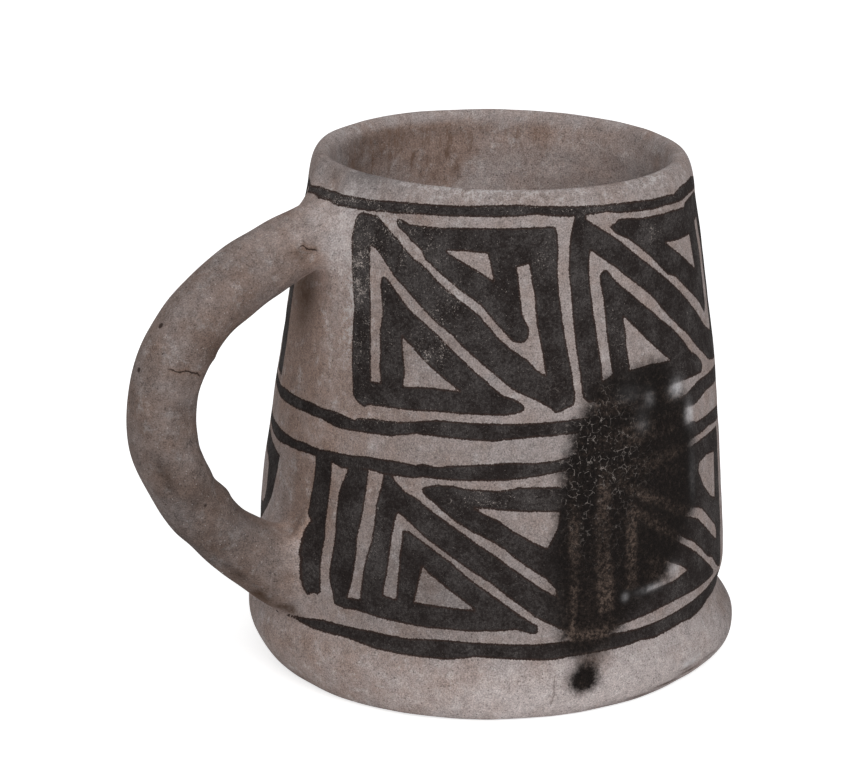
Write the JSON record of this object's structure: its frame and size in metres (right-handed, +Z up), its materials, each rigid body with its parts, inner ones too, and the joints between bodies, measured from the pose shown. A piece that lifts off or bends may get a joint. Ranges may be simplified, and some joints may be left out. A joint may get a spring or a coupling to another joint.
{
  "type": "clay mug",
  "caption": "Hand-coiled clay mug with a rolled loop handle, a flared foot and a rounded lip, painted with dark geometric bands.",
  "frame": {"origin": "centre of the flat base, on the table plane, where the pot's axis meets it", "axes": "+Z up; the handle points along -X; +Y completes a right-handed frame. The pot's axis leans 1.7 degrees towards +X and -Y"},
  "size_m": [0.1317, 0.1014, 0.1063],
  "materials": {
    "bare_clay": "low-fired grey clay with a thin pale slip, matt, with grit, pits and brown stains",
    "painted_clay": "the same grey clay, painted with near-black frets and lines, worn and crackled"
  },
  "bodies": {
    "root": {"base_disc": "bare_clay", "foot_coil": "painted_clay", "wall_coil_1": "painted_clay", "wall_coil_2": "painted_clay", "wall_coil_3": "painted_clay", "wall_coil_4": "painted_clay", "wall_coil_5": "painted_clay", "wall_coil_6": "painted_clay", "wall_coil_7": "painted_clay", "rim_coil": "painted_clay", "handle": "bare_clay", "upper_luting": "bare_clay", "lower_luting": "bare_clay"}
  },
  "joints": []
}
